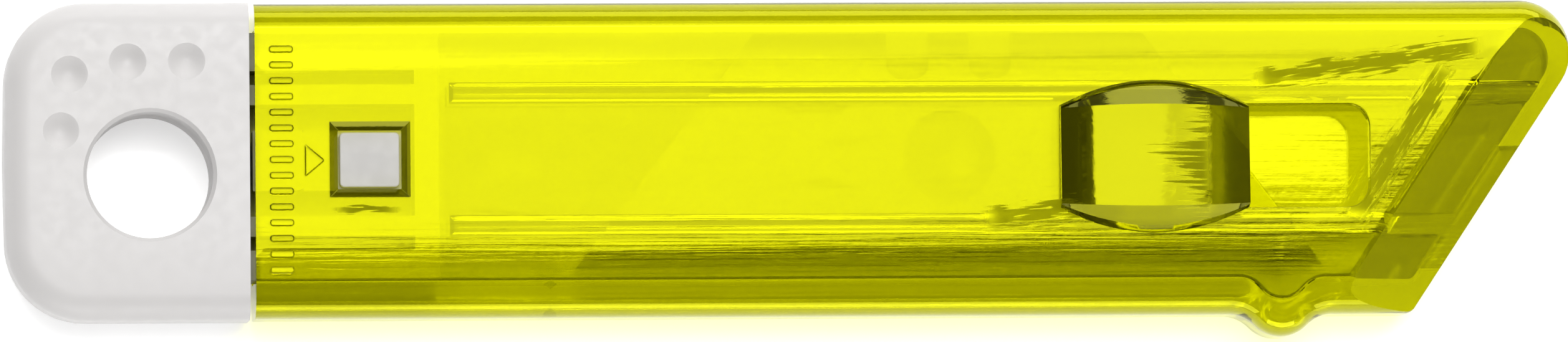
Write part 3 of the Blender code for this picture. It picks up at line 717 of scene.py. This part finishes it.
def make_bar():
    """The slider's front half: a ramped nose, a leg through the blade, a pocket for the button's neck."""
    low, high = BAR_LOW.y, BAR_HIGH.y
    outline = filleted(
        [
            (BAR_LOW.x, low, SQUARE),
            (blade_end(low), low, SQUARE),
            (blade_end(high), high, BAR_ROUND),
            (BAR_LOW.x, high, SQUARE),
        ]
    )
    work = lofted([(BLADE_HIGH.z + CLOSE_GAP, outline), (BAR_HIGH.z, outline)])
    keep_below(work, Vector((RAMP_START, 0, BAR_HIGH.z)), Vector((RAMP_SLOPE, 0, 1)).normalized())
    bar = new_object("front_bar", work)
    leg = prism("leg", half_disc(1, LEG_RADIUS, LEG_SHIFT), BAR_LOW.z, BLADE_HIGH.z + CLOSE_GAP + OVERLAP)
    combine(bar, [leg], "UNION")
    reach = NECK_HALF + CLOSE_GAP
    sides = (TRACK_MIDDLE - reach, TRACK_MIDDLE + reach)
    pocket = rectangle(NECK_START - CLOSE_GAP, NECK_END + CLOSE_GAP, *sides)
    sides = (TRACK_MIDDLE - POCKET_HALF, TRACK_MIDDLE + POCKET_HALF)
    recess = rectangle(BAR_LOW.x - OVERLAP, POCKET_END, *sides)
    hole = rectangle(*TAIL_HOLE, TRACK_MIDDLE - TAIL_HOLE_HALF, TRACK_MIDDLE + TAIL_HOLE_HALF)
    cutters = [
        prism("neck_pocket", pocket, NECK_POCKET_FLOOR, TOP),
        prism("recess", recess, BAR_HIGH.z - POCKET_DEPTH, TOP),
        prism("tail_hole", hole, 0.0, TOP),
    ]
    return smooth(combine(bar, cutters))


def make_arm():
    """A straight finger, whose tooth reaches into the sleeve's lower wall, which has no notches here."""
    tooth = ARM_HIGH.x - 2 * TOOTH_HALF
    finger_low = ARM_HIGH.y - ARM_THICKNESS
    outline = [
        Vector((ARM_LOW.x, finger_low - ARM_HEEL_DROP)),
        Vector((ARM_LOW.x + ARM_HEEL_LENGTH, finger_low - ARM_HEEL_DROP)),
        Vector((ARM_LOW.x + ARM_HEEL_LENGTH + ARM_HEEL_DROP, finger_low)),
        Vector((tooth, finger_low)),
        Vector((tooth, ARM_LOW.y + CLICK_DEPTH)),
        Vector((tooth + TOOTH_HALF, ARM_LOW.y)),
        Vector((ARM_HIGH.x, ARM_LOW.y + CLICK_DEPTH)),
        Vector((ARM_HIGH.x, ARM_HIGH.y)),
        Vector((ARM_LOW.x, ARM_HIGH.y)),
    ]
    return smooth(prism("click_finger", outline, ARM_LOW.z, ARM_HIGH.z))


def button_section(along):
    """The pad's cross section as (y, z) points, for a place from -1 at its rear end to 1 at its front end."""
    bulge = 1 - along**2
    crest_half = BUTTON_CREST_HALF + BUTTON_CREST_BULGE * bulge
    wing_end = BUTTON_CREST_HALF + BUTTON_RIM_SLANT
    wing = wing_end + (BUTTON_HIGH.y - TRACK_MIDDLE - wing_end) * bulge
    rim = BUTTON_BASE + BUTTON_RIM
    crest = rim + 2 * SQUARE + (BUTTON_HIGH.z - SADDLE_TILT * crest_half - rim - 2 * SQUARE) * bulge
    rim_half = wing - BUTTON_RIM_SLANT + SQUARE
    right = [(wing, BUTTON_BASE), (rim_half, rim)]
    for step in range(1, BUTTON_WING_STEPS + 1):
        share = step / BUTTON_WING_STEPS
        right.append((rim_half + (crest_half - rim_half) * share, rim + (crest - rim) * share))
    section = right + [(-y, z) for y, z in reversed(right)]
    return [(y, z - SADDLE_TILT * y if z > rim else z) for y, z in section]


def make_button():
    work = bmesh.new()
    sections = []
    middle, half = (BUTTON_LOW.x + BUTTON_HIGH.x) / 2, (BUTTON_HIGH.x - BUTTON_LOW.x) / 2
    for step in range(BUTTON_STEPS + 1):
        along = -1 + 2 * step / BUTTON_STEPS
        section = button_section(along)
        sections.append([work.verts.new((middle + along * half, TRACK_MIDDLE + y, z)) for y, z in section])
    work.faces.new(sections[0])
    work.faces.new(sections[-1])
    for here, there in zip(sections, sections[1:]):
        for i in range(len(here)):
            j = (i + 1) % len(here)
            work.faces.new((here[i], here[j], there[j], there[i]))
    button = new_object("thumb_pad", work)
    low, high = TRACK_MIDDLE - NECK_HALF, TRACK_MIDDLE + NECK_HALF
    neck = filleted(round_corners(NECK_START, NECK_END, low, high, NECK_ROUND, NECK_ROUND))
    return smooth(combine(button, [prism("neck", neck, BUTTON_LOW.z, BUTTON_BASE + BUTTON_RIM / 2)], "UNION"))


# Materials


class Nodes:
    """Short calls for building one material's node tree."""

    def __init__(self, name):
        self.material = bpy.data.materials.new(name)
        self.material.use_nodes = True
        self.tree = self.material.node_tree
        self.shader = self.tree.nodes["Principled BSDF"]
        self.output = self.tree.nodes["Material Output"]

    def add(self, kind, inputs=None, **settings):
        made = self.tree.nodes.new(kind)
        for key, value in settings.items():
            setattr(made, key, value)
        for key, value in (inputs or {}).items():
            self.feed(made.inputs[key], value)
        return made

    def feed(self, socket, value):
        if isinstance(value, bpy.types.NodeSocket):
            self.tree.links.new(value, socket)
        else:
            socket.default_value = value

    def noise(self, stretch, scale, detail=3.0, distortion=0.0):
        """Noise in the piece's own coordinates, stretched along x, y and z."""
        where = self.add("ShaderNodeTexCoord").outputs["Object"]
        where = self.add("ShaderNodeMapping", {"Vector": where, "Scale": stretch}).outputs["Vector"]
        inputs = {"Vector": where, "Scale": scale, "Detail": detail, "Distortion": distortion}
        return self.add("ShaderNodeTexNoise", inputs).outputs["Fac"]

    def ramp(self, value, low, high, from_value=0.0, to_value=1.0):
        """A soft step from one value to another, as the given value goes from low to high."""
        inputs = {"Value": value, "From Min": low, "From Max": high, "To Min": from_value, "To Max": to_value}
        made = self.add("ShaderNodeMapRange", inputs)
        made.interpolation_type = "SMOOTHSTEP"
        return made.outputs["Result"]

    def maths(self, operation, first, second):
        made = self.add("ShaderNodeMath", operation=operation)
        self.feed(made.inputs[0], first)
        self.feed(made.inputs[1], second)
        return made.outputs["Value"]

    def along(self, start, way):
        """How far a point lies from the start, measured along a direction in the plane of the face."""
        where = self.add("ShaderNodeTexCoord").outputs["Object"]
        made = self.add("ShaderNodeVectorMath", {0: where, 1: (way.x, way.y, 0.0)}, operation="DOT_PRODUCT")
        return self.maths("SUBTRACT", made.outputs["Value"], start.dot(way))

    def streak(self, start, end, half):
        """One inside a ragged band between two points of the face, falling to zero outside it."""
        start, end = Vector(start), Vector(end)
        length, way = (end - start).length, (end - start).normalized()
        side = self.along(start, Vector((-way.y, way.x)))
        run = self.along(start, way)
        squeezed = self.maths("MULTIPLY", run, STREAK_STRETCH)
        where = self.add("ShaderNodeCombineXYZ", {"X": squeezed, "Y": side}).outputs[0]
        inputs = {"Vector": where, "Scale": STREAK_GRAIN, "Detail": 5.0}
        grain = self.add("ShaderNodeTexNoise", inputs).outputs["Fac"]
        spread = self.maths("DIVIDE", self.maths("ABSOLUTE", side, 0.0), half)
        ragged = self.maths("ADD", spread, self.maths("MULTIPLY", grain, STREAK_RAGGED))
        inside = self.ramp(ragged, *STREAK_RIM)
        fade_in, fade_out = self.ramp(run, 0.0, STREAK_FADE), self.ramp(run, length, length - STREAK_FADE)
        return self.maths("MULTIPLY", inside, self.maths("MULTIPLY", fade_in, fade_out))

    def bump(self, height, strength, distance, after=None):
        inputs = {"Height": height, "Strength": strength, "Distance": distance}
        if after:
            inputs["Normal"] = after
        return self.add("ShaderNodeBump", inputs).outputs["Normal"]

    def show_mix(self, factor, first, second):
        """Shows a mix of two shaders in place of the plain one."""
        mix = self.add("ShaderNodeMixShader", {0: factor, 1: first, 2: second})
        self.feed(self.output.inputs["Surface"], mix.outputs[0])


def clear_base(name, tint):
    """Transparent yellow plastic, dark in its own right and bright where it mirrors a light."""
    n = Nodes(name)
    s = n.shader.inputs
    s["Base Color"].default_value = tint
    s["Transmission Weight"].default_value = 1.0
    s["IOR"].default_value = PLASTIC_IOR
    s["Specular Tint"].default_value = CLEAR_MIRROR
    through = n.add("ShaderNodeBsdfTransparent", {"Color": CLEAR_SHADOW})
    path = n.add("ShaderNodeLightPath")
    n.show_mix(path.outputs["Is Shadow Ray"], n.shader.outputs[0], through.outputs[0])
    return n


def sleeve_plastic():
    """Fine hairs all over, a scratched belt along the lower side, and worn streaks near the nose."""
    n = clear_base("sleeve_yellow", SLEEVE_TINT)
    height = n.along(Vector((0, 0)), Vector((0, 1)))
    belt = n.maths("MULTIPLY", n.ramp(height, *BELT_TOP), n.ramp(height, *BELT_FOOT))
    hairs = n.noise((5, 300, 60), scale=9.0, detail=4.0, distortion=0.3)
    hairs = n.maths("MULTIPLY", hairs, n.maths("ADD", belt, 0.25))
    wavy = n.bump(n.noise((1, 2, 1), scale=45.0, detail=1.0), strength=0.12, distance=0.3 * MM)
    peel = n.noise((1, 1, 1), scale=1300.0, detail=2.0)
    peel = n.bump(peel, strength=0.1, distance=0.02 * MM, after=wavy)
    n.feed(n.shader.inputs["Normal"], n.bump(hairs, strength=0.1, distance=0.08 * MM, after=peel))
    haze = n.noise((40, 260, 60), scale=3.0, detail=5.0, distortion=0.6)
    worn = n.ramp(haze, 0.55, 0.85, from_value=0.04, to_value=0.14)
    for start, end, half in SLEEVE_WEAR:
        worn = n.maths("MAXIMUM", worn, n.maths("MULTIPLY", n.streak(start, end, half), STREAK_ROUGHNESS))
    n.feed(n.shader.inputs["Roughness"], worn)
    return n.material


def pad_plastic():
    """The thumb pad: scuffed in a fan that opens towards the nose."""
    n = clear_base("pad_yellow", PAD_TINT)
    share = n.maths("DIVIDE", n.along(Vector((SCUFF_START, 0)), Vector((1, 0))), SCUFF_LENGTH)
    out = n.maths("ABSOLUTE", n.along(Vector((0, SCUFF_MIDDLE)), Vector((0, 1))), 0.0)
    streaks = n.noise((60, 2200, 60), scale=2.0, detail=5.0, distortion=0.3)
    fan = n.maths("ADD", n.maths("MULTIPLY", streaks, 1.6), n.maths("MULTIPLY", share, 0.8))
    fan = n.maths("SUBTRACT", fan, n.maths("MULTIPLY", out, 90.0))
    worn = n.maths("MULTIPLY", n.ramp(fan, 1.2, 1.32), n.ramp(share, 1.0, 0.85))
    n.feed(n.shader.inputs["Roughness"], n.maths("ADD", n.maths("MULTIPLY", worn, 0.6), 0.05))
    grain = n.bump(n.noise((10, 400, 60), scale=5.0, detail=3.0), strength=0.1, distance=0.01 * MM)
    peel = n.noise((1, 1, 1), scale=900.0, detail=3.0)
    n.feed(n.shader.inputs["Normal"], n.bump(peel, strength=0.1, distance=0.06 * MM, after=grain))
    return n.material


def inner_plastic():
    """The slider's yellow plastic: mostly clear, so that the blade shows through, with a faint cloudiness."""
    n = Nodes("slider_yellow")
    s = n.shader.inputs
    s["Base Color"].default_value = SLIDER_TINT
    s["Specular Tint"].default_value = SLIDER_MIRROR
    patches = n.noise((20, 60, 20), scale=12.0)
    n.feed(s["Roughness"], n.ramp(patches, 0.3, 0.7, from_value=0.12, to_value=0.25))
    through = n.add("ShaderNodeBsdfTransparent", {"Color": SLIDER_THROUGH})
    cloud = n.ramp(n.noise((10, 30, 10), scale=20.0), 0.3, 0.7, from_value=0.86, to_value=0.93)
    n.show_mix(cloud, n.shader.outputs[0], through.outputs[0])
    return n.material


def cap_plastic(name, shade):
    """Satin white, scaled by a shade factor that paints shade on darker copies, with painted shade on the
    plug where the seam to the sleeve is open.
    """
    n = Nodes(name)
    s = n.shader.inputs
    dark, pale = [(*(part * shade for part in colour), 1) for colour in (CAP_DARK, CAP_PALE)]
    patches = n.noise((1, 1, 1), scale=60.0, detail=2.0)
    clean = n.add("ShaderNodeMix", {"Factor": patches, "A": dark, "B": pale}, data_type="RGBA")
    # Painted shade: darkens the plug in the open seam next to the sleeve, where the shadow of the cap's edge
    # falls.
    gap = SLEEVE_LOW.x - CAP_FACE
    past_face = n.along(Vector((CAP_FACE, 0)), Vector((1, 0)))
    reach = n.ramp(past_face, gap + 0.6 * MM, gap + 0.1 * MM, to_value=SEAM_SHADE_STRENGTH)
    seam_shade = n.maths("MULTIPLY", n.ramp(past_face, -0.05 * MM, 0.05 * MM), reach)
    inputs = {"Factor": seam_shade, "A": clean.outputs[2], "B": SEAM_PAINTED_SHADE}
    base = n.add("ShaderNodeMix", inputs, data_type="RGBA")
    n.feed(s["Base Color"], base.outputs[2])
    mottle = n.noise((1, 1, 1), scale=900.0, detail=3.0)
    n.feed(s["Roughness"], n.ramp(mottle, 0.3, 0.7, from_value=0.42, to_value=0.55))
    grain = n.noise((1, 1, 1), scale=2500.0, detail=2.0)
    n.feed(s["Normal"], n.bump(grain, strength=0.15, distance=0.02 * MM))
    return n.material


def blade_steel():
    """Ground steel, with its grinding marks along the blade."""
    n = Nodes("ground_steel")
    s = n.shader.inputs
    s["Base Color"].default_value = STEEL
    s["Metallic"].default_value = 1.0
    marks = n.noise((8, 900, 900), scale=3.0, detail=4.0)
    n.feed(s["Roughness"], n.ramp(marks, 0.3, 0.7, from_value=0.10, to_value=0.20))
    n.feed(s["Normal"], n.bump(marks, strength=0.1, distance=0.005 * MM))
    return n.material


def floor_material():
    n = Nodes("pale_floor")
    s = n.shader.inputs
    s["Base Color"].default_value = FLOOR_GREY
    s["Roughness"].default_value = 0.8
    s["Emission Color"].default_value = (1, 1, 1, 1)
    s["Emission Strength"].default_value = FLOOR_GLOW
    return n.material


# Stage, light and camera


def make_stage():
    work = bmesh.new()
    bmesh.ops.create_grid(work, x_segments=1, y_segments=1, size=FLOOR_HALF)
    floor = new_object("floor", work)
    floor.location.z = -FLOOR_DROP
    floor.data.materials.append(floor_material())


def make_camera():
    """Looks almost straight down, leaning a little towards the cap and the edge with the finger stop."""
    data = bpy.data.cameras.new("camera")
    data.sensor_width = SENSOR_WIDTH
    data.lens = data.sensor_width / FRAME_WIDTH * CAMERA_DISTANCE
    data.clip_start, data.clip_end = CAMERA_CLIP
    camera = bpy.data.objects.new("camera", data)
    back = Vector((math.sin(VIEW_TURN), -math.sin(VIEW_TILT), 1.0))
    back.z = math.sqrt(1 - back.x**2 - back.y**2)
    camera.location = AIM + back * CAMERA_DISTANCE
    level = Vector((0, 1, 0)).cross(back).normalized()
    right = level * math.cos(VIEW_ROLL) - back.cross(level) * math.sin(VIEW_ROLL)
    camera.rotation_mode = "QUATERNION"
    camera.rotation_quaternion = Matrix((right, back.cross(right), back)).transposed().to_quaternion()
    bpy.context.scene.collection.objects.link(camera)
    bpy.context.scene.camera = camera


def area_light(name, place, aim, size_x, size_y, radiance):
    """A soft light of a given brightness, so that its size doesn't change how bright its mirror image is."""
    data = bpy.data.lights.new(name, "AREA")
    data.shape = "RECTANGLE"
    data.size, data.size_y = size_x, size_y
    data.energy = radiance * math.pi * size_x * size_y
    light = bpy.data.objects.new(name, data)
    light.location = place
    light.rotation_mode = "QUATERNION"
    light.rotation_quaternion = (Vector(place) - Vector(aim)).to_track_quat("Z", "Y")
    light.visible_camera = False
    bpy.context.scene.collection.objects.link(light)
    return light


def make_light():
    """Overhead boxes that the face mirrors, low panels for the sides, a strip for the upper edge's line."""
    world = bpy.data.worlds.new("soft_room")
    world.use_nodes = True
    background = world.node_tree.nodes["Background"].inputs
    background["Color"].default_value = (1, 1, 1, 1)
    background["Strength"].default_value = ROOM_RADIANCE
    bpy.context.scene.world = world
    outward = Vector((-math.sin(BOX_TURN), math.cos(BOX_TURN)))
    for name, low, high, height, radiance in BOXES:
        middle = BOX_FOOT + outward * (low + high) / 2
        place = Vector((middle.x, middle.y, height))
        box = area_light(name, place, (middle.x, middle.y, 0.0), BOX_WIDTH, high - low, radiance)
        box.rotation_mode = "XYZ"
        box.rotation_euler = (0, 0, BOX_TURN)
    for name, place, width, height, radiance in SIDE_PANELS:
        area_light(name, place, (0, 0, 0), width, height, radiance)
    area_light("strip", STRIP_PLACE, (STRIP_PLACE.x, STRIP_PLACE.y, 0.0), *STRIP_SIZE, STRIP_RADIANCE)


def main():
    make_camera()
    clear, pad, inner = sleeve_plastic(), pad_plastic(), inner_plastic()
    # The latch uses a darkened copy of the cap material, as painted shade.
    white, shaded_white = cap_plastic("cap_plastic_satin", 1.0), cap_plastic("latch_plastic_painted_shade", LATCH_PAINTED_SHADE)
    steel = blade_steel()
    finish_piece(make_sleeve(), "body_sleeve", "handle", clear)
    finish_piece(make_cap(), "end_cap", "cap", white)
    finish_piece(make_latch(), "latch_tongue", "latch", shaded_white)
    finish_piece(make_blade(), "blade", "slider", steel)
    finish_piece(make_carriage(), "blade_carriage", "slider", inner)
    finish_piece(make_bar(), "slider_bar", "slider", inner)
    finish_piece(make_arm(), "click_arm", "slider", inner)
    finish_piece(make_button(), "thumb_button", "slider", pad)
    make_stage()
    make_light()
    bpy.context.scene.view_settings.view_transform = "Standard"


main()
